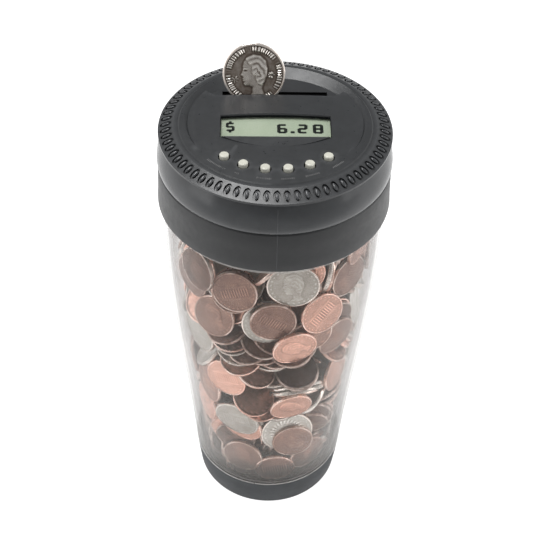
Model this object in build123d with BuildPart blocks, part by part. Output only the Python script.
from build123d import *
import math
import os

os.makedirs("parts", exist_ok=True)

# Coin-counting jar: a clear double-walled tumbler on a black base, with a black collar round its
# mouth and a plug-in lid that holds the coin slot, the display, the buttons and the batteries.
# Millimetres, +Z up. The origin is the centre of the base's underside, and -Y is the front.

# ---- jar ----
BASE_H = 16.2
BASE_R_BOTTOM = 33.2
BASE_FLOOR = (1.0, 3.2)
BASE_FOOT_R = (26.0, 27.0)
BASE_BORE_R = (31.7, 32.6)
SHELL_WALL = 1.2
SHELL_PROFILE = [(34.9, BASE_H), (39.0, 66.6), (43.2, 116.9), (44.2, 167.3)]
SHELL_TOP = 178.0
LINER_WALL = 1.0
LINER_FLOOR = (4.4, 5.6)
LINER_FLOOR_R = 29.6
LINER_PROFILE = [(30.0, LINER_FLOOR[1]), (35.2, 66.6), (40.2, 116.9), (41.8, 160.0)]
WALL_TANGENTS = [(0.085, 1.0), (0.0, 1.0)]
PILE_TOP = 166.0
PILE_GAP = 0.3
PILE_BAND = 9.0
PILE_CORE_Z = (15.0, 156.0)

# ---- collar ----
COLLAR_BOTTOM = 167.3
COLLAR_TOP = 197.9
SKIRT_R = (46.5, 45.75)
SKIRT_TOP = 185.0
MOUTH_R = 40.6
COLLAR_BORE_R = 44.35
GROOVE_LIP = (45.9, 186.2)
BULGE = [(45.7, 189.5), (44.5, 193.6), (43.3, 197.4)]
NECK_R = 42.9

# ---- lid shell ----
FLANGE_R = 45.0
FLANGE_BOTTOM = 198.2
FLANGE_EDGE = 199.7
ANNULUS_R = 39.0
ANNULUS_Z = 202.0
POD_R = 36.8
POD_EDGE_Z = 202.35
POD_TOP = 203.2
CAP_UNDER = 200.9
PLUG_R = 39.6
PLUG_INNER_R = 36.8
PLUG_BOTTOM = 178.0
SEAL_Z = (189.0, 192.0)
SEAL_GROOVE_R = 38.6
SEAL_CLEARANCE = 0.05
GRIP_COUNT = 72
GRIP_R = 42.0
GRIP_OUTER = (1.4, 2.4)
GRIP_BEAD = (0.66, 1.6)
GRIP_DEPTH = 0.8

# ---- coin slot and chute ----
PANEL_EDGE_Y = 16.3
PANEL_CORNER = (26.6, 19.4)
RECESS_R = (37.3, 32.0)
RECESS_FLOOR = 199.9
RECESS_TILT = 2.1
ISLAND_R = 33.6
FLOOR_THICKNESS = 1.4
SLOT_HALF = 20.7
SLOT_REAR_Y = 22.9
CHUTE_LEAN = 19.0
CHUTE_GAP = 2.5
CHUTE_WALL = 1.6
COIN_R = 12.13
COIN_T = 1.75
COIN_X = -8.3
COIN_ABOVE_EDGE = 8.2

# ---- display and buttons ----
LCD_HALF = 21.0
LCD_FRONT_Y = -10.3
LCD_REAR_Y = 2.7
LCD_REAR_BOW = 1.1
LCD_CENTRE_Y = (LCD_FRONT_Y + LCD_REAR_Y) / 2 + 0.5
LCD_Z = (198.9, 200.9)
LCD_SIZE = (44.6, 16.2)
WINDOW_SIZE = (45.0, 16.7)
WINDOW_THICKNESS = 0.8
SILL_FRONT_Y = -16.2
SILL_RISE = 0.45
BUTTON_RING_R = 29.3
BUTTON_ANGLES = [-41.0, -24.6, -8.2, 8.2, 24.6, 41.0]
BUTTON_R = 1.8
BUTTON_HOLE_R = 2.3
BUTTON_TOP = 204.1
BUTTON_EDGE = 0.6
BUTTON_FLANGE_R = 2.9
BUTTON_BOTTOM = 198.4

# ---- inside the lid ----
BOARD_Z = (194.4, 196.0)
BOARD_R = 33.6
BOARD_REAR_Y = 8.0
BOARD_SCREWS = [(29.5, 0.5), (-29.5, 0.5), (0.0, -17.5)]
COVER_SCREWS = [(31.5, -10.0), (-31.5, -10.0), (27.0, 20.0), (-27.0, 20.0)]
COVER_Z = (176.0, 178.0)
COVER_R = 39.5
CELL_R = 5.25
CELL_LENGTH = 44.5
CELL_Z = 184.4
CELL_YS = [-19.0, -7.9]
TRAY_HALF = 25.8
TRAY_Y = (-25.6, -1.3)
TRAY_WALL = 1.1
DOOR_HALF = 24.2
DOOR_Y = (-24.9, -2.0)
DOOR_TAB_Y = 3.4
DOOR_SCREW_Y = 0.9
LEVER_PIVOT = (15.3, 22.0)
LEVER_LENGTH = 16.0
PIN_R = 1.0

# The chute leans back: its plane's local x runs along the slot, local y down the chute, and
# local z across the coin's thickness, towards the back.
lean = math.radians(CHUTE_LEAN)
ACROSS = (0, math.cos(lean), -math.sin(lean))
half_stack = 0.3 + COIN_T / 2
CHUTE_Y = PANEL_EDGE_Y + math.cos(lean) * half_stack + math.sin(lean) * COIN_ABOVE_EDGE
CHUTE_Z = POD_TOP - 0.3 - math.sin(lean) * half_stack + math.cos(lean) * COIN_ABOVE_EDGE
CHUTE = Plane(origin=(0, CHUTE_Y, CHUTE_Z), x_dir=(1, 0, 0), z_dir=ACROSS)


def chute_plane(x, down, across):
    """A plane parallel to the chute, with its origin at a point given in chute coordinates."""
    return Plane(origin=CHUTE.from_local_coords((x, down, across)), x_dir=(1, 0, 0), z_dir=ACROSS)


def at_z(points, z):
    return [(x, y, z) for x, y in points]


def polar_point(radius, degrees):
    """A point on a ring, its angle counted from the front towards +X."""
    angle = math.radians(degrees)
    return (radius * math.sin(angle), -radius * math.cos(angle))


# ---- base ----
with BuildPart() as base_cap:
    with BuildSketch(Plane.XZ):
        with BuildLine():
            Polyline(
                (0, BASE_FLOOR[0]), (BASE_FOOT_R[0], BASE_FLOOR[0]), (BASE_FOOT_R[1], 0),
                (BASE_R_BOTTOM - 1.0, 0), (BASE_R_BOTTOM, 1.0), (SHELL_PROFILE[0][0], BASE_H),
                (BASE_BORE_R[1], BASE_H), (BASE_BORE_R[0], BASE_FLOOR[1]), (0, BASE_FLOOR[1]), close=True,
            )
        make_face()
    revolve(axis=Axis.Z)
base_cap.part.label = "base_cap"
export_step(base_cap.part, "parts/base_cap.step")


def wall_curve(profile, inset, top):
    """One side of a shell wall: a smooth curve through the profile, then straight up."""
    points = [(r - inset, z) for r, z in profile]
    side = Spline(*points, tangents=WALL_TANGENTS)
    straight = Line(side @ 1, (points[-1][0], top))
    return side, straight


# ---- clear walls ----
with BuildPart() as outer_shell:
    with BuildSketch(Plane.XZ):
        with BuildLine():
            outer_side, outer_top = wall_curve(SHELL_PROFILE, 0, SHELL_TOP)
            inner_side, inner_top = wall_curve(SHELL_PROFILE, SHELL_WALL, SHELL_TOP)
            Line(outer_top @ 1, inner_top @ 1)
            Line(inner_side @ 0, outer_side @ 0)
        make_face()
    revolve(axis=Axis.Z)
outer_shell.part.label = "outer_shell"
export_step(outer_shell.part, "parts/outer_shell.step")

RIM_Z = SHELL_TOP + 1.2
with BuildPart() as inner_liner:
    with BuildSketch(Plane.XZ):
        with BuildLine():
            face_side, face_top = wall_curve(LINER_PROFILE, 0, RIM_Z)
            back_side, back_top = wall_curve(LINER_PROFILE, -LINER_WALL, SHELL_TOP)
            Polyline(face_top @ 1, (SHELL_PROFILE[-1][0], RIM_Z), (SHELL_PROFILE[-1][0], SHELL_TOP),
                     back_top @ 1)
            Polyline(back_side @ 0, (LINER_FLOOR_R, LINER_FLOOR[0]), (0, LINER_FLOOR[0]),
                     (0, LINER_FLOOR[1]), face_side @ 0)
        make_face()
    revolve(axis=Axis.Z)
inner_liner.part.label = "inner_liner"
export_step(inner_liner.part, "parts/inner_liner.step")

# ---- coins in the jar, as one body with a hollow core so that it weighs what loose coins do ----
PILE_BOTTOM = LINER_FLOOR[1] + PILE_GAP
with BuildPart() as coin_pile:
    with BuildSketch(Plane.XZ):
        with BuildLine():
            pile_side, pile_top = wall_curve(LINER_PROFILE, PILE_GAP, PILE_TOP)
            Polyline(pile_top @ 1, (0, PILE_TOP), (0, PILE_BOTTOM), (LINER_FLOOR_R - 0.4, PILE_BOTTOM),
                     pile_side @ 0)
        make_face()
    revolve(axis=Axis.Z)
    with BuildSketch(Plane.XZ):
        with BuildLine():
            Polyline(
                (0, PILE_CORE_Z[0]), (LINER_PROFILE[0][0] - PILE_BAND + 1.0, PILE_CORE_Z[0]),
                (LINER_PROFILE[1][0] - PILE_BAND, LINER_PROFILE[1][1]),
                (LINER_PROFILE[2][0] - PILE_BAND, LINER_PROFILE[2][1]),
                (LINER_PROFILE[3][0] - PILE_BAND, PILE_CORE_Z[1]), (0, PILE_CORE_Z[1]), close=True,
            )
        make_face()
    revolve(axis=Axis.Z, mode=Mode.SUBTRACT)
coin_pile.part.label = "coin_pile"
export_step(coin_pile.part, "parts/coin_pile.step")

# ---- collar: a straight skirt, a bulge above it and a neck under the lid's flange ----
with BuildPart() as collar:
    with BuildSketch(Plane.XZ):
        with BuildLine():
            skirt = Line((SKIRT_R[0], COLLAR_BOTTOM + 0.5), (SKIRT_R[1], SKIRT_TOP))
            groove = Polyline(skirt @ 1, (SKIRT_R[1] - 0.35, SKIRT_TOP + 0.3), GROOVE_LIP)
            bulge = Spline(groove @ 1, *BULGE)
            Polyline(bulge @ 1, (NECK_R, COLLAR_TOP), (MOUTH_R + 0.5, COLLAR_TOP),
                     (MOUTH_R, COLLAR_TOP - 0.5), (MOUTH_R, RIM_Z + 0.1), (COLLAR_BORE_R, RIM_Z + 0.1),
                     (COLLAR_BORE_R, COLLAR_BOTTOM), (SKIRT_R[0] - 0.4, COLLAR_BOTTOM), skirt @ 0)
        make_face()
    revolve(axis=Axis.Z)
collar.part.label = "collar"
export_step(collar.part, "parts/collar.step")

# ---- seal ring, gripped by the mouth, in the plug's groove ----
with BuildPart() as seal_ring:
    with BuildSketch(Plane.XZ):
        with BuildLine():
            Polyline(
                (SEAL_GROOVE_R + SEAL_CLEARANCE, SEAL_Z[0] + 0.1), (MOUTH_R - 0.45, SEAL_Z[0] + 0.1),
                (MOUTH_R - SEAL_CLEARANCE, SEAL_Z[0] + 0.8), (MOUTH_R - SEAL_CLEARANCE, SEAL_Z[1] - 0.8),
                (MOUTH_R - 0.45, SEAL_Z[1] - 0.1), (SEAL_GROOVE_R + SEAL_CLEARANCE, SEAL_Z[1] - 0.1),
                close=True,
            )
        make_face()
    revolve(axis=Axis.Z)
seal_ring.part.label = "seal_ring"
export_step(seal_ring.part, "parts/seal_ring.step")

# ---- lid shell ----
COLUMN_R = 2.6
BOARD_BOSS_R = 2.4
SCREW_R = 0.78
SCREW_HOLE_R = 0.8
bevel_angle = math.degrees(math.atan2(ANNULUS_Z - FLANGE_EDGE, FLANGE_R - 0.5 - ANNULUS_R))
grip_z = ANNULUS_Z - (GRIP_R - ANNULUS_R) * math.tan(math.radians(bevel_angle))
GRIP = Plane(
    origin=(0, -GRIP_R, grip_z),
    x_dir=(1, 0, 0),
    z_dir=(0, -math.sin(math.radians(bevel_angle)), math.cos(math.radians(bevel_angle))),
)
with BuildPart() as grip_grooves:
    with BuildSketch(GRIP):
        Ellipse(*GRIP_OUTER)
        Ellipse(*GRIP_BEAD, mode=Mode.SUBTRACT)
    extrude(amount=GRIP_DEPTH, both=True)

# The recess is a shallow dish, tilted so that it is deep behind the display panel and runs out
# at the front. The panel stands in it as an island with a straight rear edge and raised corners.
with BuildPart() as dish:
    with BuildSketch(Plane.XZ):
        with BuildLine():
            slope = (RECESS_R[0] - RECESS_R[1]) / (ANNULUS_Z - RECESS_FLOOR)
            Polyline(
                (0, RECESS_FLOOR), (RECESS_R[1], RECESS_FLOOR),
                (RECESS_R[0] + 6.0 * slope, ANNULUS_Z + 6.0), (0, ANNULUS_Z + 6.0), close=True,
            )
        make_face()
    revolve(axis=Axis.Z)
tilt_axis = Axis((0, RECESS_R[0], ANNULUS_Z), (-1, 0, 0))
tilted_dish = dish.part.rotate(tilt_axis, RECESS_TILT)
corner_x, corner_y = PANEL_CORNER
corner_angle = math.atan2(corner_y, corner_x)
island_corner = (ISLAND_R * math.cos(corner_angle), ISLAND_R * math.sin(corner_angle))
with BuildPart() as island:
    with BuildSketch(Plane.XY.offset(RECESS_FLOOR - 2.0)):
        with BuildLine():
            rear = Line((-corner_x + 4.5, PANEL_EDGE_Y), (corner_x - 4.5, PANEL_EDGE_Y))
            right = Spline(rear @ 1, (corner_x - 1.9, PANEL_EDGE_Y + 1.1), island_corner)
            ThreePointArc(right @ 1, (0, -ISLAND_R), (-island_corner[0], island_corner[1]))
            Spline((-island_corner[0], island_corner[1]), (-corner_x + 1.9, PANEL_EDGE_Y + 1.1), rear @ 0)
        make_face()
    extrude(amount=14.0)
with BuildPart() as slot_recess:
    add(tilted_dish)
    add(island.part, mode=Mode.SUBTRACT)

# sloping sill in front of the display: a segment of a circle that rises to the display's front edge
sill_slope = math.degrees(math.atan2(SILL_RISE + 0.06, LCD_FRONT_Y - SILL_FRONT_Y))
with BuildPart() as display_sill:
    with BuildSketch(Plane.XY.offset(CAP_UNDER + 0.5)):
        with BuildLine():
            chord = Line((-LCD_HALF, LCD_FRONT_Y), (LCD_HALF, LCD_FRONT_Y))
            ThreePointArc(chord @ 1, (0, SILL_FRONT_Y), chord @ 0)
        make_face()
    extrude(amount=4.0)
    with BuildSketch(Plane(origin=(0, SILL_FRONT_Y, POD_TOP - 0.11), x_dir=(1, 0, 0),
                           z_dir=(0, -math.sin(math.radians(sill_slope)), 1))):
        Rectangle(100, 60)
    extrude(amount=8.0, mode=Mode.SUBTRACT)



def display_outline():
    """The display opening: straight sides and front, and a slightly bowed rear edge."""
    sides = Polyline((-LCD_HALF, LCD_REAR_Y), (-LCD_HALF, LCD_FRONT_Y), (LCD_HALF, LCD_FRONT_Y),
                     (LCD_HALF, LCD_REAR_Y))
    ThreePointArc(sides @ 1, (0, LCD_REAR_Y + LCD_REAR_BOW), sides @ 0)


with BuildPart() as top_cap:
    with BuildSketch(Plane.XZ):
        with BuildLine():
            Polyline(
                (0, CAP_UNDER), (PLUG_INNER_R, CAP_UNDER), (PLUG_INNER_R, PLUG_BOTTOM),
                (PLUG_R - 0.6, PLUG_BOTTOM), (PLUG_R, PLUG_BOTTOM + 0.6), (PLUG_R, SEAL_Z[0]),
                (SEAL_GROOVE_R, SEAL_Z[0]), (SEAL_GROOVE_R, SEAL_Z[1]), (PLUG_R, SEAL_Z[1]),
                (PLUG_R, FLANGE_BOTTOM), (FLANGE_R - 0.4, FLANGE_BOTTOM), (FLANGE_R, FLANGE_BOTTOM + 0.4),
                (FLANGE_R, FLANGE_EDGE - 0.2), (FLANGE_R - 0.5, FLANGE_EDGE), (ANNULUS_R, ANNULUS_Z),
                (POD_R + 0.5, ANNULUS_Z), (POD_R, POD_EDGE_Z),
            )
            ThreePointArc((POD_R, POD_EDGE_Z), (POD_R / 2, POD_TOP - 0.12), (0, POD_TOP))
            Line((0, POD_TOP), (0, CAP_UNDER))
        make_face()
    revolve(axis=Axis.Z)
    # floor of the slot recess, hung below the cap behind the display panel
    with BuildSketch(Plane.XY.offset(RECESS_FLOOR - FLOOR_THICKNESS)):
        Circle(PLUG_INNER_R + 0.5)
        Rectangle(90, 60, align=(Align.CENTER, Align.MAX), mode=Mode.SUBTRACT)
        with Locations((0, PANEL_EDGE_Y - 3.0)):
            Rectangle(90, 40, align=(Align.CENTER, Align.MAX), mode=Mode.SUBTRACT)
    extrude(until=Until.NEXT)
    add(slot_recess.part, mode=Mode.SUBTRACT)
    add(display_sill.part)
    # slot: undercut at both long edges, so that a coin can lean back in it
    with BuildSketch(Plane.YZ.offset(-SLOT_HALF)):
        slot_low = RECESS_FLOOR - 6.0
        front_low = PANEL_EDGE_Y - (POD_TOP - slot_low) * math.tan(lean)
        with BuildLine():
            Polyline(
                (PANEL_EDGE_Y, POD_TOP), (PANEL_EDGE_Y + 0.9, POD_TOP), (SLOT_REAR_Y, RECESS_FLOOR),
                (SLOT_REAR_Y + 1.2, RECESS_FLOOR - FLOOR_THICKNESS), (SLOT_REAR_Y + 1.2, slot_low),
                (front_low, slot_low), close=True,
            )
        make_face()
    extrude(amount=2 * SLOT_HALF, mode=Mode.SUBTRACT)
    # display opening, and the pocket that its window sits in
    with BuildSketch(Plane.XY.offset(CAP_UNDER - 1)):
        with BuildLine():
            display_outline()
        make_face()
    extrude(amount=6, mode=Mode.SUBTRACT)
    with BuildSketch(Plane.XY.offset(CAP_UNDER - 0.1)):
        with Locations((0, LCD_CENTRE_Y)):
            Rectangle(WINDOW_SIZE[0] + 0.2, WINDOW_SIZE[1] + 0.2)
    extrude(amount=WINDOW_THICKNESS + 0.2, mode=Mode.SUBTRACT)
    with BuildSketch(Plane.XY.offset(POD_TOP - 0.5)):
        with BuildLine():
            display_outline()
        make_face()
    extrude(amount=1.2, taper=-30, mode=Mode.SUBTRACT)
    # button holes
    with BuildSketch(Plane.XY.offset(CAP_UNDER - 1)):
        with Locations(*[polar_point(BUTTON_RING_R, a) for a in BUTTON_ANGLES]):
            Circle(BUTTON_HOLE_R)
    extrude(amount=6, mode=Mode.SUBTRACT)
    # bosses for the board's screws and columns for the inner cover's
    with BuildSketch(Plane.XY.offset(BOARD_Z[1])):
        with Locations(*BOARD_SCREWS):
            Circle(BOARD_BOSS_R)
    extrude(amount=CAP_UNDER + 0.3 - BOARD_Z[1])
    with BuildSketch(Plane.XY.offset(COVER_Z[1])):
        with Locations(*COVER_SCREWS[:2]):
            Circle(COLUMN_R)
    extrude(amount=CAP_UNDER + 0.3 - COVER_Z[1])
    with BuildSketch(Plane.XY.offset(COVER_Z[1])):
        with Locations(*COVER_SCREWS[2:]):
            Circle(COLUMN_R)
    extrude(amount=RECESS_FLOOR - 1.0 - COVER_Z[1])
    with Locations(*at_z(BOARD_SCREWS, BOARD_Z[1])):
        Cylinder(SCREW_HOLE_R, 4.0, align=(Align.CENTER, Align.CENTER, Align.MIN), mode=Mode.SUBTRACT)
    with Locations(*at_z(COVER_SCREWS, COVER_Z[1])):
        Cylinder(SCREW_HOLE_R, 8.0, align=(Align.CENTER, Align.CENTER, Align.MIN), mode=Mode.SUBTRACT)
    # ring of oval grip marks on the bevel
    with PolarLocations(0, GRIP_COUNT):
        add(grip_grooves.part, mode=Mode.SUBTRACT)
top_cap.part.label = "top_cap"
export_step(top_cap.part, "parts/top_cap.step")

# ---- display stack, from the top down ----
with BuildPart() as display_window:
    with BuildSketch(Plane.XY.offset(LCD_Z[1] + 0.05)):
        with Locations((0, LCD_CENTRE_Y)):
            Rectangle(*WINDOW_SIZE)
    extrude(amount=WINDOW_THICKNESS)
display_window.part.label = "display_window"
export_step(display_window.part, "parts/display_window.step")

with BuildPart() as lcd_panel:
    with BuildSketch(Plane.XY.offset(LCD_Z[0])):
        with Locations((0, LCD_CENTRE_Y)):
            Rectangle(*LCD_SIZE)
    extrude(amount=LCD_Z[1] - LCD_Z[0])
lcd_panel.part.label = "lcd_panel"
export_step(lcd_panel.part, "parts/lcd_panel.step")

with BuildPart() as display_frame:
    with BuildSketch(Plane.XY.offset(BOARD_Z[1])):
        with Locations((0, LCD_CENTRE_Y)):
            Rectangle(48.4, 19.6)
            Rectangle(LCD_SIZE[0] + 0.2, LCD_SIZE[1] + 0.2, mode=Mode.SUBTRACT)
    extrude(amount=LCD_Z[1] - 0.1 - BOARD_Z[1])
display_frame.part.label = "display_frame"
export_step(display_frame.part, "parts/display_frame.step")

with BuildPart() as lcd_connectors:
    with BuildSketch(Plane.XY.offset(BOARD_Z[1])):
        with Locations((0, LCD_CENTRE_Y + 6.6), (0, LCD_CENTRE_Y - 6.6)):
            Rectangle(42.0, 2.0)
    extrude(amount=LCD_Z[0] - BOARD_Z[1])
lcd_connectors.part.label = "lcd_connectors"
export_step(lcd_connectors.part, "parts/lcd_connectors.step")

with BuildPart() as circuit_board:
    with BuildSketch(Plane.XY.offset(BOARD_Z[0])):
        Circle(BOARD_R)
        with Locations((0, BOARD_REAR_Y)):
            Rectangle(90, 90, align=(Align.CENTER, Align.MIN), mode=Mode.SUBTRACT)
        with Locations(*COVER_SCREWS[:2]):
            Circle(COLUMN_R + 0.4, mode=Mode.SUBTRACT)
        with Locations(*BOARD_SCREWS):
            Circle(0.95, mode=Mode.SUBTRACT)
    extrude(amount=BOARD_Z[1] - BOARD_Z[0])
circuit_board.part.label = "circuit_board"
export_step(circuit_board.part, "parts/circuit_board.step")

# controller under a drop of potting resin, a crystal and small components under the board
with BuildPart() as controller_chip:
    with Locations((-16.0, -12.0, BOARD_Z[0])):
        Cylinder(5.2, 1.9, align=(Align.CENTER, Align.CENTER, Align.MAX))
    fillet(controller_chip.edges().group_by(Axis.Z)[0], 1.7)
controller_chip.part.label = "controller_chip"
export_step(controller_chip.part, "parts/controller_chip.step")

with BuildPart() as board_components:
    with BuildSketch(Plane.XY.offset(BOARD_Z[0])):
        with GridLocations(4.2, 3.4, 3, 3):
            Rectangle(2.0, 1.25)
    extrude(amount=-0.7)
    with BuildSketch(Plane.XY.offset(BOARD_Z[0])):
        with Locations((12.5, -4.0)):
            SlotOverall(7.8, 3.0)
    extrude(amount=-2.4)
    with Locations((-13.0, -3.0, BOARD_Z[0])):
        Cylinder(2.0, 2.8, align=(Align.CENTER, Align.CENTER, Align.MAX))
board_components.part.label = "board_components"
export_step(board_components.part, "parts/board_components.step")

with BuildPart() as keypad_membrane:
    with BuildSketch(Plane.XY.offset(BOARD_Z[1])):
        Circle(32.9)
        Circle(25.8, mode=Mode.SUBTRACT)
        with BuildLine():
            Polyline(polar_point(60, -50), (0, 0), polar_point(60, 50), (60, 60), (-60, 60), close=True)
        make_face(mode=Mode.SUBTRACT)
    extrude(amount=0.6)
    with Locations(*at_z([polar_point(BUTTON_RING_R, a) for a in BUTTON_ANGLES], BOARD_Z[1])):
        Cone(2.4, 1.5, 1.1, align=(Align.CENTER, Align.CENTER, Align.MIN))
keypad_membrane.part.label = "keypad_membrane"
export_step(keypad_membrane.part, "parts/keypad_membrane.step")


def screws(points, head_z, head_h, head_r, tip_z):
    """Pan-head screws pointing up, their heads' undersides at head_z, each with a cross recess."""
    with Locations(*at_z(points, head_z)):
        Cylinder(head_r, head_h, align=(Align.CENTER, Align.CENTER, Align.MAX))
        Cylinder(SCREW_R, tip_z - head_z, align=(Align.CENTER, Align.CENTER, Align.MIN))
    with Locations(*at_z(points, head_z - head_h)):
        Box(2 * head_r * 0.62, 0.5, 1.2, mode=Mode.SUBTRACT)
        Box(0.5, 2 * head_r * 0.62, 1.2, mode=Mode.SUBTRACT)


with BuildPart() as board_screws:
    screws(BOARD_SCREWS, BOARD_Z[0], 1.2, 1.8, BOARD_Z[1] + 3.8)
board_screws.part.label = "board_screws"
export_step(board_screws.part, "parts/board_screws.step")

# ---- buttons: round caps on flanges that the lid's shell holds in ----
for number, angle in enumerate(BUTTON_ANGLES, start=1):
    x, y = polar_point(BUTTON_RING_R, angle)
    with BuildPart() as button:
        with Locations((x, y, BUTTON_BOTTOM)):
            Cylinder(BUTTON_R, BUTTON_TOP - BUTTON_BOTTOM, align=(Align.CENTER, Align.CENTER, Align.MIN))
        fillet(button.edges().group_by(Axis.Z)[-1], BUTTON_EDGE)
        with Locations((x, y, BUTTON_BOTTOM)):
            Cylinder(BUTTON_FLANGE_R, 0.9, align=(Align.CENTER, Align.CENTER, Align.MIN))
    button.part.label = f"button_{number}"
    export_step(button.part, f"parts/button_{number}.step")

# ---- coin chute: two moulded halves with the coin's gap between them ----
chute_top = RECESS_FLOOR - FLOOR_THICKNESS - 0.1
chute_bottom = COVER_Z[1]
CHUTE_HALF = SLOT_HALF + 1.6


def pin_hole(radius):
    """A hole across the chute, at the lever's pivot."""
    with BuildSketch(chute_plane(LEVER_PIVOT[0], LEVER_PIVOT[1], -8)) as hole:
        Circle(radius)
    extrude(hole.sketch, amount=16, mode=Mode.SUBTRACT)


with BuildPart() as chute_front:
    with BuildSketch(chute_plane(0, 22, -CHUTE_GAP / 2)):
        Rectangle(2 * CHUTE_HALF, 44)
    extrude(amount=-CHUTE_WALL)
    with Locations((0, 0, chute_bottom)):
        Box(100, 100, 100, align=(Align.CENTER, Align.CENTER, Align.MAX), mode=Mode.SUBTRACT)
    with Locations((0, 0, chute_top)):
        Box(100, 100, 100, align=(Align.CENTER, Align.CENTER, Align.MIN), mode=Mode.SUBTRACT)
    pin_hole(PIN_R)
chute_front.part.label = "chute_front"
export_step(chute_front.part, "parts/chute_front.step")

with BuildPart() as chute_back:
    with BuildSketch(chute_plane(0, 22, -CHUTE_GAP / 2)):
        Rectangle(2 * CHUTE_HALF, 44)
    extrude(amount=CHUTE_GAP + CHUTE_WALL)
    with BuildSketch(chute_plane(0, 22, -CHUTE_GAP / 2)):
        Rectangle(2 * SLOT_HALF + 0.1, 50)
    extrude(amount=CHUTE_GAP, mode=Mode.SUBTRACT)
    # funnel at the top, opening out to the slot's rear edge
    with BuildSketch(Plane.YZ.offset(-CHUTE_HALF)):
        with BuildLine():
            Polyline((18.6, chute_top), (SLOT_REAR_Y + 2.2, chute_top), (SLOT_REAR_Y + 2.2, chute_top - 1.2),
                     (17.6, chute_top - 7.0), (14.2, chute_top - 7.0), close=True)
        make_face()
    extrude(amount=2 * CHUTE_HALF)
    with BuildSketch(Plane.YZ.offset(-SLOT_HALF - 0.05)):
        with BuildLine():
            gap_y = CHUTE_Y - (CHUTE_Z - chute_top) * math.tan(lean)
            Polyline((gap_y - 1.4, chute_top), (SLOT_REAR_Y + 0.8, chute_top),
                     (gap_y - 0.2, chute_top - 5.0), (gap_y - 4.5, chute_top - 5.0), close=True)
        make_face()
    extrude(amount=2 * SLOT_HALF + 0.1, mode=Mode.SUBTRACT)
    with BuildSketch(chute_plane(0, 22, -CHUTE_GAP / 2)):
        Rectangle(2 * SLOT_HALF + 0.1, 50)
    extrude(amount=CHUTE_GAP, mode=Mode.SUBTRACT)
    with BuildSketch(chute_plane(0, 22, -CHUTE_GAP / 2)):
        Rectangle(100, 60)
    extrude(amount=-30, mode=Mode.SUBTRACT)
    with Locations((0, 0, chute_bottom)):
        Box(100, 100, 100, align=(Align.CENTER, Align.CENTER, Align.MAX), mode=Mode.SUBTRACT)
    with Locations((0, 0, chute_top)):
        Box(100, 100, 100, align=(Align.CENTER, Align.CENTER, Align.MIN), mode=Mode.SUBTRACT)
    pin_hole(PIN_R)
chute_back.part.label = "chute_back"
export_step(chute_back.part, "parts/chute_back.step")

# ---- sensing lever, its pin, its spring and the contacts that it closes ----
with BuildPart() as lever_pin:
    with BuildSketch(chute_plane(LEVER_PIVOT[0], LEVER_PIVOT[1], -CHUTE_GAP / 2 - CHUTE_WALL - 0.8)):
        Circle(PIN_R + 0.8)
    extrude(amount=0.8)
    with BuildSketch(chute_plane(LEVER_PIVOT[0], LEVER_PIVOT[1], -CHUTE_GAP / 2 - CHUTE_WALL)):
        Circle(PIN_R)
    extrude(amount=CHUTE_GAP + 2 * CHUTE_WALL + 2.6)
lever_pin.part.label = "lever_pin"
export_step(lever_pin.part, "parts/lever_pin.step")

with BuildPart() as sensing_lever:
    with BuildSketch(chute_plane(LEVER_PIVOT[0], LEVER_PIVOT[1], -0.6)):
        with Locations((-LEVER_LENGTH / 2, 0)):
            SlotCenterToCenter(LEVER_LENGTH, 2.4)
        Circle(2.2)
    extrude(amount=1.2)
    with BuildSketch(chute_plane(LEVER_PIVOT[0], LEVER_PIVOT[1], -0.95)):
        Circle(2.2)
    extrude(amount=1.9)
    pin_hole(PIN_R + 0.05)
sensing_lever.part.label = "sensing_lever"
export_step(sensing_lever.part, "parts/sensing_lever.step")

with BuildPart() as lever_spring:
    spring_seat = chute_plane(LEVER_PIVOT[0], LEVER_PIVOT[1], CHUTE_GAP / 2 + CHUTE_WALL + 0.3)
    with BuildLine():
        coil = Helix(pitch=0.55, height=1.65, radius=1.5, center=spring_seat.origin, direction=ACROSS)
    with BuildSketch(Plane(origin=coil @ 0, z_dir=coil % 0)):
        Circle(0.2)
    sweep()
lever_spring.part.label = "lever_spring"
export_step(lever_spring.part, "parts/lever_spring.step")

with BuildPart() as contact_block:
    with BuildSketch(chute_plane(-6.0, 22.0, -CHUTE_GAP / 2 - CHUTE_WALL)):
        Rectangle(14.0, 5.0)
    extrude(amount=-2.0)
contact_block.part.label = "contact_block"
export_step(contact_block.part, "parts/contact_block.step")

with BuildPart() as contact_blades:
    for step in range(4):
        with BuildSketch(chute_plane(-10.5 + 3.0 * step, 19.5, -CHUTE_GAP / 2 - CHUTE_WALL - 1.1)):
            Rectangle(1.6, 5.0, align=(Align.CENTER, Align.MAX))
        extrude(amount=0.25)
contact_blades.part.label = "contact_blades"
export_step(contact_blades.part, "parts/contact_blades.step")

# ---- the quarter standing in the slot ----
with BuildPart() as quarter:
    with BuildSketch(chute_plane(COIN_X, 0, -COIN_T / 2)):
        Circle(COIN_R)
    extrude(amount=COIN_T)
    chamfer(quarter.edges().filter_by(GeomType.CIRCLE), 0.15)
    for face_z, depth in ((COIN_T / 2, -0.12), (-COIN_T / 2, 0.12)):
        with BuildSketch(chute_plane(COIN_X, 0, face_z)):
            Circle(COIN_R - 0.9)
        extrude(amount=depth, mode=Mode.SUBTRACT)
quarter.part.label = "quarter"
export_step(quarter.part, "parts/quarter.step")

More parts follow.
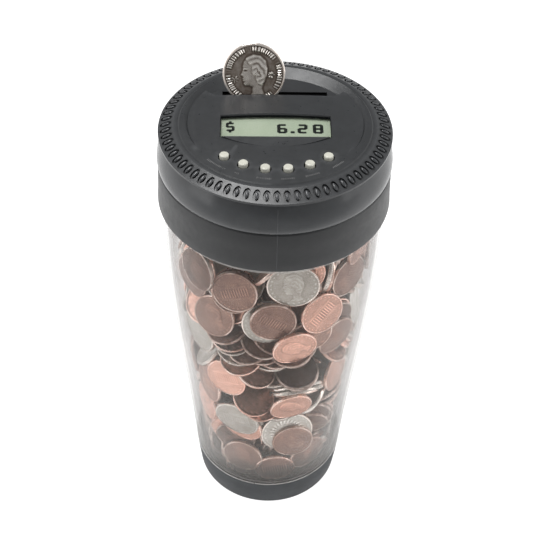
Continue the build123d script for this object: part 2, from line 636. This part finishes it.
# ---- battery tray, open below, with two AAA cells lying across it ----
tray_top = CELL_Z + CELL_R + 1.4
tray_centre_y = (TRAY_Y[0] + TRAY_Y[1]) / 2
tray_depth = TRAY_Y[1] - TRAY_Y[0]
with BuildPart() as battery_tray:
    with BuildSketch(Plane.XY.offset(COVER_Z[1])):
        with Locations((0, tray_centre_y)):
            Rectangle(2 * TRAY_HALF, tray_depth)
    extrude(amount=tray_top - COVER_Z[1])
    with BuildSketch(Plane.XY.offset(COVER_Z[1])):
        with Locations((0, tray_centre_y)):
            Rectangle(2 * (TRAY_HALF - TRAY_WALL), tray_depth - 2 * TRAY_WALL)
    extrude(amount=tray_top - 1.2 - COVER_Z[1], mode=Mode.SUBTRACT)
    with BuildSketch(Plane.XY.offset(COVER_Z[1])):
        with Locations((0, DOOR_SCREW_Y)):
            Circle(2.5)
    extrude(amount=8.0)
    with Locations((0, DOOR_SCREW_Y, COVER_Z[1])):
        Cylinder(1.0, 6.5, align=(Align.CENTER, Align.CENTER, Align.MIN), mode=Mode.SUBTRACT)
battery_tray.part.label = "battery_tray"
export_step(battery_tray.part, "parts/battery_tray.step")

for number, (cell_y, way) in enumerate(zip(CELL_YS, (1, -1)), start=1):
    with BuildPart() as cell:
        with BuildSketch(Plane.YZ.offset(-way * CELL_LENGTH / 2)):
            with Locations((cell_y, CELL_Z)):
                Circle(CELL_R)
        extrude(amount=way * (CELL_LENGTH - 1.0))
        with BuildSketch(Plane.YZ.offset(way * (CELL_LENGTH / 2 - 1.0))):
            with Locations((cell_y, CELL_Z)):
                Circle(1.9)
        extrude(amount=way * 1.0)
    cell.part.label = f"battery_{number}"
    export_step(cell.part, f"parts/battery_{number}.step")

with BuildPart() as battery_springs:
    for cell_y, way in zip(CELL_YS, (-1, 1)):
        with BuildSketch(Plane.YZ.offset(way * (TRAY_HALF - TRAY_WALL))):
            with Locations((cell_y, CELL_Z)):
                Rectangle(9.0, 9.0)
        extrude(amount=-way * 0.4)
        for turn, turn_r in enumerate((3.6, 3.0, 2.4)):
            ring_x = way * (CELL_LENGTH / 2 + 1.55 - 0.5 * turn)
            with Locations((ring_x, cell_y, CELL_Z)):
                Torus(turn_r, 0.28, rotation=(0, 90, 0))
battery_springs.part.label = "battery_springs"
export_step(battery_springs.part, "parts/battery_springs.step")

with BuildPart() as battery_plates:
    for cell_y, way in zip(CELL_YS, (1, -1)):
        with BuildSketch(Plane.YZ.offset(way * (CELL_LENGTH / 2 + 0.05))):
            with Locations((cell_y, CELL_Z)):
                Rectangle(8.0, 8.0)
        extrude(amount=way * 0.4)
        with BuildSketch(Plane.YZ.offset(way * (CELL_LENGTH / 2 + 0.45))):
            with Locations((cell_y, CELL_Z)):
                Rectangle(4.0, 8.0)
        extrude(amount=way * (TRAY_HALF - TRAY_WALL - CELL_LENGTH / 2 - 0.5))
battery_plates.part.label = "battery_plates"
export_step(battery_plates.part, "parts/battery_plates.step")

# ---- inner cover, its screws, and the battery door ----
exit_y = CHUTE_Y - math.tan(lean) * (CHUTE_Z - COVER_Z[1])
with BuildPart() as inner_cover:
    with BuildSketch(Plane.XY.offset(COVER_Z[0])):
        Circle(COVER_R)
    extrude(amount=COVER_Z[1] - COVER_Z[0])
    chamfer(inner_cover.edges().group_by(Axis.Z)[0], 0.6)
    with BuildSketch(Plane.XY.offset(COVER_Z[0])):
        with Locations((0, (DOOR_Y[0] + DOOR_Y[1]) / 2)):
            Rectangle(2 * DOOR_HALF + 0.6, DOOR_Y[1] - DOOR_Y[0] + 0.6)
        with Locations((0, DOOR_Y[1])):
            Rectangle(9.6, DOOR_TAB_Y - DOOR_Y[1] + 0.3, align=(Align.CENTER, Align.MIN))
        with Locations(*COVER_SCREWS):
            Circle(0.95)
    extrude(amount=COVER_Z[1] - COVER_Z[0], mode=Mode.SUBTRACT)
    with BuildSketch(Plane.XY.offset(COVER_Z[0])):
        with Locations(*COVER_SCREWS):
            Circle(2.1)
    extrude(amount=1.2, mode=Mode.SUBTRACT)
    with BuildSketch(Plane.YZ.offset(-SLOT_HALF)):
        with BuildLine():
            low_y = exit_y - math.tan(lean) * (COVER_Z[1] - COVER_Z[0])
            Polyline((exit_y - 1.4, COVER_Z[1]), (exit_y + 1.4, COVER_Z[1]), (low_y + 1.6, COVER_Z[0]),
                     (low_y - 1.6, COVER_Z[0]), close=True)
        make_face()
    extrude(amount=2 * SLOT_HALF, mode=Mode.SUBTRACT)
inner_cover.part.label = "inner_cover"
export_step(inner_cover.part, "parts/inner_cover.step")

with BuildPart() as cover_screws:
    screws(COVER_SCREWS, COVER_Z[0] + 1.2, 1.1, 1.8, COVER_Z[1] + 7.5)
cover_screws.part.label = "cover_screws"
export_step(cover_screws.part, "parts/cover_screws.step")

with BuildPart() as battery_door:
    with BuildSketch(Plane.XY.offset(COVER_Z[0])):
        with Locations((0, (DOOR_Y[0] + DOOR_Y[1]) / 2)):
            Rectangle(2 * DOOR_HALF, DOOR_Y[1] - DOOR_Y[0])
        with Locations((0, DOOR_Y[1] - 0.5)):
            Rectangle(9.0, DOOR_TAB_Y - DOOR_Y[1] + 0.5, align=(Align.CENTER, Align.MIN))
        with Locations((0, DOOR_SCREW_Y)):
            Circle(0.9, mode=Mode.SUBTRACT)
    extrude(amount=1.6)
    with BuildSketch(Plane.XY.offset(COVER_Z[0])):
        with Locations((0, DOOR_SCREW_Y)):
            Circle(1.9)
    extrude(amount=0.9, mode=Mode.SUBTRACT)
    with BuildSketch(Plane.XY.offset(COVER_Z[0])):
        with Locations((0, DOOR_Y[0] + 4.0)):
            with GridLocations(0, 1.6, 1, 3):
                Rectangle(12.0, 0.8)
    extrude(amount=0.5, mode=Mode.SUBTRACT)
battery_door.part.label = "battery_door"
export_step(battery_door.part, "parts/battery_door.step")

with BuildPart() as door_screw:
    screws([(0, DOOR_SCREW_Y)], COVER_Z[0] + 0.9, 0.8, 1.7, COVER_Z[1] + 5.5)
door_screw.part.label = "door_screw"
export_step(door_screw.part, "parts/door_screw.step")
